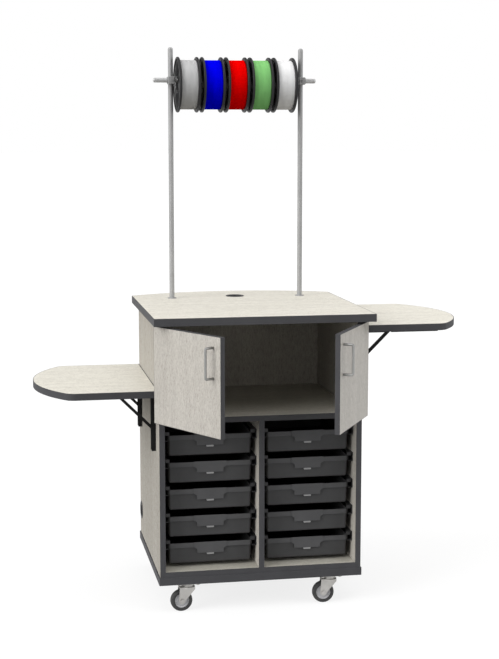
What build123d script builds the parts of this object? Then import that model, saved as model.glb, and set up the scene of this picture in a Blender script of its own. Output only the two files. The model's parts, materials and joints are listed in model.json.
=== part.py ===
from build123d import *
from math import cos, hypot, radians, sin
import os

# Mobile maker cart: a two-door cabinet on casters with ten sliding trays, a worktop, two folding
# side wings and a rack that carries five filament spools.
# Millimetres. Z is up from the floor, X = 0 is the middle of the cabinet, Y = 0 is halfway between
# the open doors' edges and the worktop's back, and the doors face -Y. Every piece is one solid, or a
# group of separate solids where pieces are alike.

os.makedirs("parts", exist_ok=True)

# --- driving dimensions -------------------------------------------------------------------------
cabinet_width = 740
cabinet_depth = 640
cabinet_y = 109         # middle of the cabinet's depth
panel = 20              # thickness of sides, divider, shelf and bottom
back_panel_thickness = 16
edging = 1              # thickness of the glued edge strips on the cabinet
top_edging = 2          # thickness of the glued edge strips on the worktop and wings

caster_height = 108     # floor to underside of the base board
base_thickness = 28
base_overhang = 4
shelf_top = 717
worktop_underside = 1058
worktop_thickness = 28
worktop_half_width = 396
worktop_front_overhang = 92
worktop_corner_overhang = 5     # behind the cabinet, at the back corners
worktop_bow = 110               # how far the back edge swells at the middle

door_thickness = 18
door_bottom = 706
door_top = 1050
door_gap = 3            # between the two closed doors
door_setback = 2.6      # closed doors stand this far off the cabinet, room for the hinge leaves
door_open = 60          # degrees, as the doors stand
hinge_barrel_radius = 2.5
hinge_pin_radius = 1.25
pin_clearance = 0.06
hinge_height = 50
hinge_inset = 60        # hinge centres from the door's top and bottom
handle_height = 960
handle_inset = 38       # from the door's free edge
handle_pitch = 104
handle_standoff = 34
handle_radius = 4.5
handle_bend = 6

tray_width = 312
tray_length = 427
tray_depth = 76
tray_wall = 2
tray_skirt = 17
tray_inset = 3.5        # body behind the rim's outer edge
tray_recess = 50        # tray front behind the cabinet front
tray_top_first = 645
tray_pitch = 99.7
trays_per_column = 5
column_center = (cabinet_width - 2 * panel + panel) / 4
column_half = (cabinet_width / 2 - panel - panel / 2) / 2

wing_thickness = 25
wing_reach = 427        # side panel to wing tip
wing_straight = 312     # length of the straight front and back edges
wing_front = cabinet_y - 300
wing_back = cabinet_y + 327
wing_gap = 1
wing_corner = 45
wing_heights = {"left": 814, "right": 1031}     # top faces

bracket_ys = (cabinet_y - 208, cabinet_y + 240)     # middle of the front and the rear bracket
bracket_pivot_out = 10          # pivot centre from the side panel
bracket_drop = 7                # pivot centre below the wing's underside
bracket_steel = 1.6
leg_width = 26
leg_depth = 16
leg_length = 201                # pivot to foot
arm_width = 21
arm_reach = 306                 # pivot to arm tip
brace_drop = 120                # lower brace pivot below the upper pivot
brace_width = 12
brace_radius = 5
bracket_pin_radius = 3

post_x = 252
post_y = cabinet_y + 207
post_radius = 9.5
post_wall = 1.5
post_top = 2041
post_ring_radius = 17
rod_radius = 9
rod_y = post_y - 20
rod_z = 1917
rod_left = -321
rod_right = 307

spool_radius = 104
spool_width = 81.5
spool_rim_width = 9             # rounded bead round each flange
spool_flange = 3.5
spool_bore_radius = 26
spool_core_radius = 40
winding_radius = 92.5
spool_pitch = 92.3
spool_first = -232.5            # left rim of the leftmost spool
spool_count = 5
spool_z = rod_z - (spool_bore_radius - rod_radius - 0.4)

caster_x = 264
caster_reach = cabinet_depth / 2 - 38     # swivel centres before and behind the cabinet's middle
caster_trail = 26
wheel_radius = 40
wheel_width = 24
wheel_hub_radius = 26
wheel_bore_radius = 4.08
axle_radius = 4
fork_inner = 14.5
fork_steel = 2.5
caster_turn = {"front_left": 184, "front_right": 176, "rear_left": 171, "rear_right": 187}

grommet_hole_radius = 30
grommet_flange_radius = 35
grommet_clear_radius = 27
grommet_top_y = cabinet_y + 240
grommet_side_y = cabinet_y + 275
grommet_side_z = 235

# --- derived places -----------------------------------------------------------------------------
half_width = cabinet_width / 2
front = cabinet_y - cabinet_depth / 2
back = cabinet_y + cabinet_depth / 2
base_top = caster_height + base_thickness
bottom_top = base_top + panel
worktop_top = worktop_underside + worktop_thickness
inner_half = half_width - panel
back_inner = back - back_panel_thickness
board_front = front + edging
hinge_x = half_width + hinge_barrel_radius + 0.3
hinge_y = front - door_setback / 2
hinge_levels = (door_bottom + hinge_inset, door_top - hinge_inset)
tray_front = front + tray_recess
tray_tops = [tray_top_first - tray_pitch * row for row in range(trays_per_column)]
tray_back = tray_front + tray_length
caster_places = {
    "front_left": (-caster_x, cabinet_y - caster_reach),
    "front_right": (caster_x, cabinet_y - caster_reach),
    "rear_left": (-caster_x, cabinet_y + caster_reach),
    "rear_right": (caster_x, cabinet_y + caster_reach),
}
sides = {"left": -1, "right": 1}


def save(name, piece):
    """Label a finished piece and write it as one STEP file."""
    piece.label = name
    export_step(piece, f"parts/{name}.step")


def group(pieces):
    """Several separate solids that share a node."""
    return Compound(children=list(pieces))


def block(x_span, y_span, z_span):
    """A plain board or strip between two limits on each axis."""
    x_size = x_span[1] - x_span[0]
    y_size = y_span[1] - y_span[0]
    with BuildPart() as piece:
        with BuildSketch(Plane.XY.offset(z_span[0])):
            with Locations((x_span[0] + x_size / 2, y_span[0] + y_size / 2)):
                Rectangle(x_size, y_size)
        extrude(amount=z_span[1] - z_span[0])
    return piece.part


def bar(center, direction, radius, length):
    """A round pin or bar that starts at center and runs along direction."""
    with BuildPart() as piece:
        with BuildSketch(Plane(origin=center, z_dir=direction)):
            Circle(radius)
        extrude(amount=length)
    return piece.part


def countersunk_screw(head_center, direction, head_radius, length, drive=True):
    """A countersunk wood screw from head_center along direction; without drive it is its own hole."""
    with BuildPart() as screw:
        with BuildSketch(Plane(origin=head_center, z_dir=direction)):
            Circle(head_radius)
        extrude(amount=head_radius / 2, taper=45)
        with BuildSketch(Plane(origin=head_center, z_dir=direction)):
            Circle(head_radius / 2)
        extrude(amount=length)
        if drive:
            with BuildSketch(Plane(origin=head_center, z_dir=direction)):
                Circle(head_radius / 3)
            extrude(amount=head_radius / 4, mode=Mode.SUBTRACT)
    return screw.part


# --- cabinet ------------------------------------------------------------------------------------
def side_panel(side):
    """A tall side board; the left one has a cable port low at the back."""
    x_span = sorted((side * half_width, side * inner_half))
    port = Plane(origin=(x_span[0], grommet_side_y, grommet_side_z), z_dir=(1, 0, 0))
    with BuildPart() as board:
        add(block(x_span, (board_front, back), (base_top, worktop_underside)))
        if side < 0:
            with BuildSketch(port):
                Circle(grommet_hole_radius)
            extrude(amount=panel, mode=Mode.SUBTRACT)
    return board.part


for side_name, side in sides.items():
    save(f"side_panel_{side_name}", side_panel(side))

inner_span = (-inner_half, inner_half)
save("bottom_panel", block(inner_span, (board_front, back), (base_top, bottom_top)))
middle_span = (-panel / 2, panel / 2)
board_depth = (board_front, back_inner)
shelf_span = (shelf_top - panel, shelf_top)
save("divider_panel", block(middle_span, board_depth, (bottom_top, shelf_span[0])))
save("fixed_shelf", block(inner_span, board_depth, shelf_span))
save("back_panel", block(inner_span, (back_inner, back), (bottom_top, worktop_underside)))

with BuildPart() as base_board:
    with BuildSketch(Plane.XY.offset(caster_height)):
        with Locations((0, cabinet_y)):
            RectangleRounded(cabinet_width + 2 * base_overhang, cabinet_depth + 2 * base_overhang, 4)
    extrude(amount=base_thickness)
    chamfer(base_board.faces().filter_by(Axis.Z).edges(), length=0.8)
save("base_board", base_board.part)

# Dark strips glued on the front edges of the cabinet's boards.
strip_y = (front, board_front)
save("panel_edging", group([
    block((-half_width, -inner_half), strip_y, (base_top, worktop_underside)),
    block((inner_half, half_width), strip_y, (base_top, worktop_underside)),
    block(middle_span, strip_y, (bottom_top, shelf_span[0])),
    block(inner_span, strip_y, shelf_span),
    block(inner_span, strip_y, (base_top, bottom_top)),
]))


# --- worktop ------------------------------------------------------------------------------------
def worktop_outline():
    """Straight front and sides, and a back edge that bows outward."""
    front_y = front - worktop_front_overhang
    corner_y = back + worktop_corner_overhang
    with BuildSketch() as outline:
        with BuildLine():
            Polyline(
                (-worktop_half_width, corner_y),
                (-worktop_half_width, front_y),
                (worktop_half_width, front_y),
                (worktop_half_width, corner_y),
            )
            ThreePointArc(
                (worktop_half_width, corner_y),
                (0, corner_y + worktop_bow),
                (-worktop_half_width, corner_y),
            )
        make_face()
    return outline.sketch


with BuildPart() as worktop_board:
    with BuildSketch(Plane.XY.offset(worktop_underside)):
        add(worktop_outline())
        offset(amount=-top_edging, kind=Kind.INTERSECTION, mode=Mode.REPLACE)
    extrude(amount=worktop_thickness)
    with BuildSketch(Plane.XY.offset(worktop_underside)):
        with Locations((0, grommet_top_y)):
            Circle(grommet_hole_radius)
        with Locations((-post_x, post_y), (post_x, post_y)):
            Circle(4.2)
    extrude(amount=worktop_thickness, mode=Mode.SUBTRACT)
save("worktop_board", worktop_board.part)

with BuildPart() as worktop_edging:
    with BuildSketch(Plane.XY.offset(worktop_underside)):
        add(worktop_outline())
        offset(amount=-top_edging, kind=Kind.INTERSECTION, mode=Mode.SUBTRACT)
    extrude(amount=worktop_thickness)
save("worktop_edging", worktop_edging.part)


def grommet(face_center, outward, board):
    """A plastic cable ring: a liner through the board with a rounded flange outside."""
    flange_height = 3
    with BuildPart() as ring:
        with BuildSketch(Plane(origin=face_center, z_dir=outward)):
            Circle(grommet_flange_radius)
        extrude(amount=flange_height)
        fillet(ring.edges().sort_by(SortBy.DISTANCE)[-1:], radius=1)
        with BuildSketch(Plane(origin=face_center, z_dir=outward)):
            Circle(grommet_hole_radius - 0.2)
        extrude(amount=-board)
        with BuildSketch(Plane(origin=face_center, z_dir=outward).offset(flange_height)):
            Circle(grommet_clear_radius)
        extrude(amount=-board - flange_height, mode=Mode.SUBTRACT)
    return ring.part


save("cable_grommets", group([
    grommet((0, grommet_top_y, worktop_top), (0, 0, 1), worktop_thickness),
    grommet((-half_width, grommet_side_y, grommet_side_z), (-1, 0, 0), panel),
]))


# --- doors --------------------------------------------------------------------------------------
def hinge_axis(side):
    return Axis((side * hinge_x, hinge_y, 0), (0, 0, 1))


def swing(piece, side):
    """Turn a piece drawn on a closed door to where the open door stands."""
    return piece.rotate(hinge_axis(side), side * door_open)


def door_panel(side):
    """Overlay door: a board with an edge strip glued all round."""
    x_outer = side * half_width
    x_free = side * door_gap / 2
    x_span = sorted((x_outer, x_free))
    y_span = (front - door_setback - door_thickness, front - door_setback)
    inner_x = (x_span[0] + edging, x_span[1] - edging)
    core = block(inner_x, y_span, (door_bottom + edging, door_top - edging))
    with BuildPart() as strip:
        add(block(x_span, y_span, (door_bottom, door_top)))
        add(core, mode=Mode.SUBTRACT)
    return group([swing(core, side), swing(strip.part, side)])


def door_handle(side):
    """A bent round-bar pull, screwed on from behind near the free edge."""
    x = side * (door_gap / 2 + handle_inset)
    face_y = front - door_setback - door_thickness
    low = handle_height - handle_pitch / 2
    high = handle_height + handle_pitch / 2
    out_y = face_y - handle_standoff
    with BuildPart() as handle:
        with BuildLine():
            FilletPolyline(
                (x, face_y, low),
                (x, out_y, low),
                (x, out_y, high),
                (x, face_y, high),
                radius=handle_bend,
            )
        with BuildSketch(Plane(origin=(x, face_y, low), z_dir=(0, -1, 0))):
            Circle(handle_radius)
        sweep()
    return swing(handle.part, side)


def hinge_leaf(side, z_middle, on_door):
    """One leaf of a butt hinge: a plate, and knuckles round the pin that clear the other leaf's."""
    leaf_steel = 1.2
    leaf_reach = 17
    clearance = 0.3
    low = z_middle - hinge_height / 2
    high = z_middle + hinge_height / 2
    third = hinge_height / 3
    middle_knuckle = [(low + third, high - third)]
    end_knuckles = [(low, low + third), (high - third, high)]
    if on_door:
        y_span = (front - door_setback, front - door_setback + leaf_steel)
        tab_y = (y_span[0] + 0.1, hinge_y)
        own, others = middle_knuckle, end_knuckles
    else:
        y_span = (front - leaf_steel, front)
        tab_y = (hinge_y, y_span[1] - 0.1)
        own, others = end_knuckles, middle_knuckle
    plate_x = sorted((side * (half_width - leaf_reach), side * (half_width + 0.6)))
    tab_x = sorted((side * (half_width + 0.1), side * (hinge_x - hinge_pin_radius - 0.4)))
    with BuildPart() as leaf:
        add(block(plate_x, y_span, (low, high)))
        for z_low, z_high in own:
            add(block(tab_x, tab_y, (z_low, z_high)))
            with BuildSketch(Plane(origin=(side * hinge_x, hinge_y, z_low), z_dir=(0, 0, 1))):
                Circle(hinge_barrel_radius)
            extrude(amount=z_high - z_low)
        with BuildSketch(Plane(origin=(side * hinge_x, hinge_y, low), z_dir=(0, 0, 1))):
            Circle(hinge_pin_radius + pin_clearance)
        extrude(amount=hinge_height, mode=Mode.SUBTRACT)
        for z_low, z_high in others:
            notch_low = z_low - clearance
            with BuildSketch(Plane(origin=(side * hinge_x, hinge_y, notch_low), z_dir=(0, 0, 1))):
                Circle(hinge_barrel_radius + clearance)
            extrude(amount=z_high - z_low + 2 * clearance, mode=Mode.SUBTRACT)
    return leaf.part


for side_name, side in sides.items():
    save(f"door_{side_name}_panel", door_panel(side))
    save(f"door_{side_name}_handle", door_handle(side))
    save(f"door_{side_name}_hinge_leaves", group(
        swing(hinge_leaf(side, level, on_door=True), side) for level in hinge_levels
    ))

hinge_frames = []
for side in sides.values():
    for level in hinge_levels:
        pin_start = (side * hinge_x, hinge_y, level - hinge_height / 2)
        hinge_frames.append(hinge_leaf(side, level, on_door=False))
        hinge_frames.append(bar(pin_start, (0, 0, 1), hinge_pin_radius, hinge_height))
save("door_hinge_frames", group(hinge_frames))


# --- trays and their runners --------------------------------------------------------------------
runner_reach = column_half - tray_width / 2 + tray_inset - 0.5
runner_wall = 2.1
runner_low = tray_skirt + 0.4
runner_high = 11.5
runner_front = tray_front - 3
lug_reach = runner_reach + 5
lug_length = 12


def runner(panel_x, direction, top):
    """A C-shaped plastic runner with a lug in front that holds the tray's rim down."""
    y_end = tray_back + 0.4
    z_low = top - runner_low - runner_wall
    z_high = top + runner_high + runner_wall
    front_plane = Plane(
        origin=(panel_x, runner_front, 0), x_dir=(direction, 0, 0), z_dir=(0, -direction, 0)
    )
    with BuildPart() as piece:
        with BuildSketch(front_plane):
            with BuildLine():
                Polyline(
                    (0, z_low),
                    (runner_reach, z_low),
                    (runner_reach, z_low + runner_wall),
                    (runner_wall, z_low + runner_wall),
                    (runner_wall, z_high - runner_wall),
                    (runner_reach, z_high - runner_wall),
                    (runner_reach, z_high),
                    (0, z_high),
                    close=True,
                )
            make_face()
        extrude(amount=-direction * (y_end - runner_front + runner_wall))
        stop_x = sorted((panel_x, panel_x + direction * runner_reach))
        add(block(stop_x, (y_end, y_end + runner_wall), (z_low, z_high)))
        lug_x = sorted((panel_x + direction * 7, panel_x + direction * lug_reach))
        add(block(lug_x, (runner_front, runner_front + lug_length), (top + 1.5, z_high)))
    return piece.part


def runner_screws(wall_x, direction, top, drive=True):
    """The two screws that hold a runner on its wall, or the holes for them."""
    for screw_y in (runner_front + 40, tray_back - 30):
        head = (wall_x + direction * runner_wall, screw_y, top - 3)
        yield countersunk_screw(head, (-direction, 0, 0), head_radius=3, length=11, drive=drive)


runners = []
screws = []
for top in tray_tops:
    for column in (-1, 1):
        walls = (column * column_center - column_half, column * column_center + column_half)
        for wall_x, direction in zip(walls, (1, -1)):
            with BuildPart() as drilled:
                add(runner(wall_x, direction, top))
                add(list(runner_screws(wall_x, direction, top, drive=False)), mode=Mode.SUBTRACT)
            runners.append(drilled.part)
            screws.extend(runner_screws(wall_x, direction, top))
save("tray_runners", group(runners))


def tray(column, top):
    """An open plastic tray: tapered walls, a rim with a hanging skirt, and a grip tab in front."""
    x = column * column_center
    y = tray_front + tray_length / 2
    body_x = tray_width - 2 * tray_inset
    body_y = tray_length - 2 * tray_inset
    tab_top_width = 119
    tab_low_width = 97
    tab_drop = 38
    face = Plane(origin=(x, tray_front, top), x_dir=(1, 0, 0), z_dir=(0, -1, 0))
    with BuildPart() as piece:
        with BuildSketch(Plane(origin=(x, y, top), z_dir=(0, 0, -1))):
            RectangleRounded(body_x, body_y, 9)
        extrude(amount=tray_depth, taper=3)
        fillet(piece.faces().sort_by(Axis.Z)[0].edges(), radius=6)
        with BuildSketch(Plane(origin=(x, y, top), z_dir=(0, 0, -1))):
            RectangleRounded(tray_width, tray_length, 12)
        extrude(amount=tray_skirt)
        with BuildSketch(Plane(origin=(x, y, top - 2.5), z_dir=(0, 0, -1))):
            RectangleRounded(tray_width - 2 * tray_wall, tray_length - 2 * tray_wall, 10)
            RectangleRounded(body_x, body_y, 9, mode=Mode.SUBTRACT)
        extrude(amount=tray_skirt, mode=Mode.SUBTRACT)
        fillet(piece.faces().sort_by(Axis.Z)[-1].edges(), radius=0.8)
        with BuildSketch(Plane(origin=(x, y, top), z_dir=(0, 0, -1))):
            RectangleRounded(body_x - 2 * tray_wall, body_y - 2 * tray_wall, 7)
        extrude(amount=tray_depth - tray_wall, taper=3, mode=Mode.SUBTRACT)
        with BuildSketch(face):
            with BuildLine():
                Polyline(
                    (-tab_top_width / 2, 2),
                    (tab_top_width / 2, 2),
                    (tab_top_width / 2, -tray_skirt),
                    (tab_low_width / 2, -tray_skirt - 6),
                    (tab_low_width / 2, -tab_drop),
                    (-tab_low_width / 2, -tab_drop),
                    (-tab_low_width / 2, -tray_skirt - 6),
                    (-tab_top_width / 2, -tray_skirt),
                    close=True,
                )
            make_face()
            fillet(vertices(), radius=2)
        extrude(amount=2)
        with BuildSketch(face):
            with Locations((0, -tab_drop / 2 + 1)):
                Rectangle(tab_low_width - 8, tab_drop - 10)
        extrude(amount=-2)
        with BuildSketch(face):
            with Locations((0, -tab_drop - 3.5)):
                RectangleRounded(26, 6, 2)
        extrude(amount=-7)
    return piece.part


for column_name, column in sides.items():
    for row, top in enumerate(tray_tops, start=1):
        save(f"tray_{column_name}_{row}", tray(column, top))


# --- folding wings ------------------------------------------------------------------------------
def wing_outline(side):
    """Straight along the cabinet, front and back, with a bowed outer end."""
    x_inner = side * (half_width + wing_gap)
    x_bend = side * (half_width + wing_straight)
    x_tip = side * (half_width + wing_reach)
    middle_y = (wing_front + wing_back) / 2
    with BuildSketch() as outline:
        with BuildLine():
            Polyline(
                (x_bend, wing_front),
                (x_inner, wing_front),
                (x_inner, wing_back),
                (x_bend, wing_back),
            )
            ThreePointArc((x_bend, wing_back), (x_tip, middle_y), (x_bend, wing_front))
        make_face()
        bends = outline.vertices().filter_by(lambda corner: abs(corner.X) > half_width + wing_gap + 1)
        fillet(bends, radius=wing_corner)
    return outline.sketch


def wing_board(side, top):
    """The wing's board and the strip glued round it."""
    with BuildPart() as core:
        with BuildSketch(Plane.XY.offset(top - wing_thickness)):
            add(wing_outline(side))
            offset(amount=-top_edging, kind=Kind.INTERSECTION, mode=Mode.REPLACE)
        extrude(amount=wing_thickness)
    with BuildPart() as strip:
        with BuildSketch(Plane.XY.offset(top - wing_thickness)):
            add(wing_outline(side))
            offset(amount=-top_edging, kind=Kind.INTERSECTION, mode=Mode.SUBTRACT)
        extrude(amount=wing_thickness)
    return group([core.part, strip.part])


def bracket_plane(side, y, pivot_z):
    """Local X runs outward from the pivot, local Y is up and the normal runs along the cabinet."""
    x = side * (half_width + bracket_pivot_out)
    return Plane(origin=(x, y, pivot_z), x_dir=(side, 0, 0), z_dir=(0, -side, 0))


def bracket_leg(side, y, pivot_z):
    """A channel screwed to the side panel; its two cheeks hold the pins."""
    plane = bracket_plane(side, y, pivot_z)
    wall = -bracket_pivot_out
    with BuildPart() as leg:
        with BuildSketch(plane):
            with Locations((wall + leg_depth / 2, -leg_length / 2)):
                Rectangle(leg_depth, leg_length)
            Circle(bracket_drop - 0.4)
            with Locations((wall / 2, (bracket_drop - 1) / 2)):
                Rectangle(bracket_pivot_out, bracket_drop - 1)
            with Locations((0, 0), (0, -brace_drop)):
                Circle(bracket_pin_radius, mode=Mode.SUBTRACT)
        extrude(amount=leg_width / 2, both=True)
        with BuildSketch(plane):
            with Locations((wall + bracket_steel + leg_depth / 2 + 4, -leg_length / 2)):
                Rectangle(leg_depth + 8, leg_length * 2)
        extrude(amount=leg_width / 2 - bracket_steel, both=True, mode=Mode.SUBTRACT)
        foot_edges = leg.edges().filter_by(Axis.Y).group_by(Axis.Z)[0].sort_by(Axis.X)
        fillet(foot_edges[-2:] if side > 0 else foot_edges[:2], radius=2)
    return leg.part


def leg_screws(side, y, pivot_z, drive=True):
    """The three screws that hold a bracket leg on the cabinet's side, or the holes for them."""
    for drop in (45, 90, 165):
        head = (side * (half_width + bracket_steel), y, pivot_z - drop)
        yield countersunk_screw(head, (-side, 0, 0), head_radius=3, length=14, drive=drive)


def bracket_pin(side, y, pivot_z):
    """A headed steel pin across a bracket's cheeks."""
    x = side * (half_width + bracket_pivot_out)
    head = 1.5
    with BuildPart() as pin:
        add(bar((x, y - leg_width / 2, pivot_z), (0, 1, 0), bracket_pin_radius, leg_width))
        add(bar((x, y - leg_width / 2 - head, pivot_z), (0, 1, 0), bracket_pin_radius + 2, head))
        add(bar((x, y + leg_width / 2, pivot_z), (0, 1, 0), bracket_pin_radius + 2, head))
    return pin.part


def bracket_arm(side, y, pivot_z):
    """A channel, open below, screwed under the wing and hung on the upper pin.

    The strut's rivet runs along grooves inside its cheeks, and notches in the cheeks let the folded
    arm pass over the lower pin.
    """
    plane = bracket_plane(side, y, pivot_z)
    inner_half_width = arm_width / 2 - bracket_steel
    groove_end = arm_reach - 8
    notch_top = bracket_pin_radius + 0.6
    notch_height = bracket_drop + notch_top
    with BuildPart() as arm:
        with BuildSketch(plane):
            with Locations((arm_reach / 2, 0)):
                Rectangle(arm_reach, 2 * bracket_drop)
            Circle(bracket_drop)
            Circle(bracket_pin_radius + pin_clearance, mode=Mode.SUBTRACT)
        extrude(amount=arm_width / 2, both=True)
        with BuildSketch(plane):
            with Locations((arm_reach / 2 - 20, -bracket_steel)):
                Rectangle(arm_reach + 40, 2 * bracket_drop)
            with Locations((-6, 5)):
                Rectangle(12, 12)
        extrude(amount=inner_half_width, both=True, mode=Mode.SUBTRACT)
        with BuildSketch(plane):
            with Locations(((brace_drop + groove_end) / 2, 0)):
                SlotOverall(groove_end - brace_drop + 12, 6)
        extrude(amount=inner_half_width + bracket_steel / 2, both=True, mode=Mode.SUBTRACT)
        with BuildSketch(plane):
            with Locations((brace_drop, notch_top - notch_height / 2)):
                Rectangle(2 * bracket_pin_radius + 2, notch_height)
        extrude(amount=arm_width / 2, both=True, mode=Mode.SUBTRACT)
        low_edges = arm.edges().filter_by(Axis.Y).group_by(Axis.Z)[0].sort_by(Axis.X)
        fillet(low_edges[-1 if side > 0 else 0], radius=5)
    return arm.part


def wing_brace(side, y, pivot_z):
    """The diagonal strut, on the lower pin, with a short rivet in its upper end."""
    plane = bracket_plane(side, y, pivot_z)
    length = hypot(brace_drop, brace_drop)
    low = (0, -brace_drop)
    high = (brace_drop, 0)
    with BuildPart() as strut:
        with BuildSketch(plane):
            with Locations(Location(((low[0] + high[0]) / 2, (low[1] + high[1]) / 2), 45)):
                SlotCenterToCenter(length, 2 * brace_radius)
            with Locations(low):
                Circle(bracket_pin_radius + pin_clearance, mode=Mode.SUBTRACT)
            with Locations(high):
                Circle(bracket_pin_radius - 0.5, mode=Mode.SUBTRACT)
        extrude(amount=brace_width / 2, both=True)
    with BuildPart() as rivet:
        with BuildSketch(plane):
            with Locations(high):
                Circle(bracket_pin_radius - 0.5)
        extrude(amount=arm_width / 2 - bracket_steel - 0.6, both=True)
    return [strut.part, rivet.part]


bracket_legs = []
for side_name, side in sides.items():
    wing_top = wing_heights[side_name]
    pivot_z = wing_top - wing_thickness - bracket_drop
    save(f"wing_{side_name}_board", wing_board(side, wing_top))
    save(f"wing_{side_name}_arms", group(bracket_arm(side, y, pivot_z) for y in bracket_ys))
    braces = [solid for y in bracket_ys for solid in wing_brace(side, y, pivot_z)]
    save(f"wing_{side_name}_braces", group(braces))
    for y in bracket_ys:
        with BuildPart() as drilled:
            add(bracket_leg(side, y, pivot_z))
            add(list(leg_screws(side, y, pivot_z, drive=False)), mode=Mode.SUBTRACT)
        bracket_legs.append(drilled.part)
        screws.extend(leg_screws(side, y, pivot_z))
        bracket_legs.append(bracket_pin(side, y, pivot_z))
        bracket_legs.append(bracket_pin(side, y, pivot_z - brace_drop))
save("bracket_legs", group(bracket_legs))
save("wood_screws", group(screws))


# --- spool rack ---------------------------------------------------------------------------------
def spool_post(side):
    """A steel tube with a domed top on a cover ring, held by a stud, washer and nut below."""
    x = side * post_x
    stud_radius = 4
    with BuildPart() as tube:
        with BuildSketch(Plane(origin=(x, post_y, worktop_top + 3.2), z_dir=(0, 0, 1))):
            Circle(post_radius)
            Circle(post_radius - post_wall, mode=Mode.SUBTRACT)
        extrude(amount=post_top - worktop_top - 3.2 - 6)
        with BuildSketch(Plane(origin=(x, post_y, post_top - 12), z_dir=(0, 0, 1))):
            Circle(post_radius)
        extrude(amount=12)
        fillet(tube.edges().group_by(Axis.Z)[-1], radius=8.5)
        with BuildSketch(Plane(origin=(x, post_y, worktop_top + 3.2), z_dir=(0, 0, 1))):
            Circle(post_radius - post_wall)
            Circle(stud_radius + 0.05, mode=Mode.SUBTRACT)
        extrude(amount=20)
    with BuildPart() as ring:
        with BuildSketch(Plane(origin=(x, post_y, worktop_top), z_dir=(0, 0, 1))):
            Circle(post_ring_radius)
            Circle(stud_radius + 0.05, mode=Mode.SUBTRACT)
        extrude(amount=3.2)
        fillet(ring.edges().group_by(Axis.Z)[-1].sort_by(SortBy.LENGTH)[-1], radius=1.4)
    with BuildPart() as stud:
        add(bar((x, post_y, worktop_underside - 12), (0, 0, 1), stud_radius, worktop_thickness + 34))
    with BuildPart() as washer:
        with BuildSketch(Plane(origin=(x, post_y, worktop_underside - 2), z_dir=(0, 0, 1))):
            Circle(12)
            Circle(stud_radius + 0.05, mode=Mode.SUBTRACT)
        extrude(amount=2)
    with BuildPart() as nut:
        with BuildSketch(Plane(origin=(x, post_y, worktop_underside - 8.5), z_dir=(0, 0, 1))):
            RegularPolygon(6.5, 6, major_radius=False)
            Circle(stud_radius + 0.05, mode=Mode.SUBTRACT)
        extrude(amount=6.5)
    return group([tube.part, ring.part, stud.part, washer.part, nut.part])


for side_name, side in sides.items():
    save(f"spool_post_{side_name}", spool_post(side))

with BuildPart() as spool_rod:
    with BuildSketch(Plane(origin=(rod_left, rod_y, rod_z), z_dir=(1, 0, 0))):
        Circle(rod_radius)
    extrude(amount=rod_right - rod_left)
    fillet(spool_rod.edges(), radius=6)
save("spool_rod", spool_rod.part)


def rod_clamp(side):
    """A cross clamp that joins rod and post, its two socket screws, and a stop collar outside."""
    x = side * post_x
    clamp_half = 12
    clamp_y = (rod_y - rod_radius - 6, post_y + post_radius + 5)
    fit = 0.05
    with BuildPart() as clamp:
        add(block((x - clamp_half, x + clamp_half), clamp_y, (rod_z - 14, rod_z + 14)))
        fillet(clamp.edges(), radius=2.5)
        with BuildSketch(Plane(origin=(x, post_y, rod_z - 15), z_dir=(0, 0, 1))):
            Circle(post_radius + fit)
        extrude(amount=30, mode=Mode.SUBTRACT)
        with BuildSketch(Plane(origin=(x - clamp_half - 1, rod_y, rod_z), z_dir=(1, 0, 0))):
            Circle(rod_radius + fit)
        extrude(amount=2 * clamp_half + 2, mode=Mode.SUBTRACT)
        for y, direction in ((clamp_y[0], 1), (clamp_y[1], -1)):
            with BuildSketch(Plane(origin=(x, y, rod_z), z_dir=(0, direction, 0))):
                Circle(2.5)
            extrude(amount=5, mode=Mode.SUBTRACT)
    solids = [clamp.part]
    for y, direction in ((clamp_y[0], 1), (clamp_y[1], -1)):
        with BuildPart() as screw:
            with BuildSketch(Plane(origin=(x, y - direction * 4, rod_z), z_dir=(0, direction, 0))):
                Circle(4)
            extrude(amount=4)
            with BuildSketch(Plane(origin=(x, y, rod_z), z_dir=(0, direction, 0))):
                Circle(2.45)
            extrude(amount=4.5)
            with BuildSketch(Plane(origin=(x, y - direction * 4, rod_z), z_dir=(0, direction, 0))):
                RegularPolygon(2, 6, major_radius=False)
            extrude(amount=2.5, mode=Mode.SUBTRACT)
        solids.append(screw.part)
    collar_start = x + side * (clamp_half + 0.1)
    with BuildPart() as collar:
        with BuildSketch(Plane(origin=(collar_start, rod_y, rod_z), z_dir=(side, 0, 0))):
            Circle(rod_radius + 2.5)
            Circle(rod_radius + fit, mode=Mode.SUBTRACT)
        extrude(amount=4)
        outer_edges = collar.edges().filter_by(GeomType.CIRCLE).group_by(SortBy.RADIUS)[-1]
        chamfer(outer_edges, length=0.6)
    solids.append(collar.part)
    return solids


save("rod_clamps", group([solid for side in sides.values() for solid in rod_clamp(side)]))


flange_setback = (spool_rim_width - spool_flange) / 2


def spool_plane(x_left):
    return Plane(origin=(x_left, rod_y, spool_z), x_dir=(0, 1, 0), z_dir=(1, 0, 0))


def spool(x_left):
    """One moulded reel: two flanges with beaded rims on a core with a through bore."""
    plane = spool_plane(x_left)
    with BuildPart() as reel:
        for rim_x in (0, spool_width - spool_rim_width):
            with BuildSketch(plane.offset(rim_x + flange_setback)):
                Circle(spool_radius)
            extrude(amount=spool_flange)
            with BuildSketch(plane.offset(rim_x)):
                Circle(spool_radius)
                Circle(spool_radius - 8, mode=Mode.SUBTRACT)
            extrude(amount=spool_rim_width)
        fillet(reel.edges().filter_by(GeomType.CIRCLE).group_by(SortBy.RADIUS)[-1], radius=3.5)
        with BuildSketch(plane.offset(flange_setback)):
            Circle(spool_core_radius)
        extrude(amount=spool_width - 2 * flange_setback)
        with BuildSketch(plane):
            Circle(spool_bore_radius)
        extrude(amount=spool_width, mode=Mode.SUBTRACT)
    return reel.part


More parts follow.
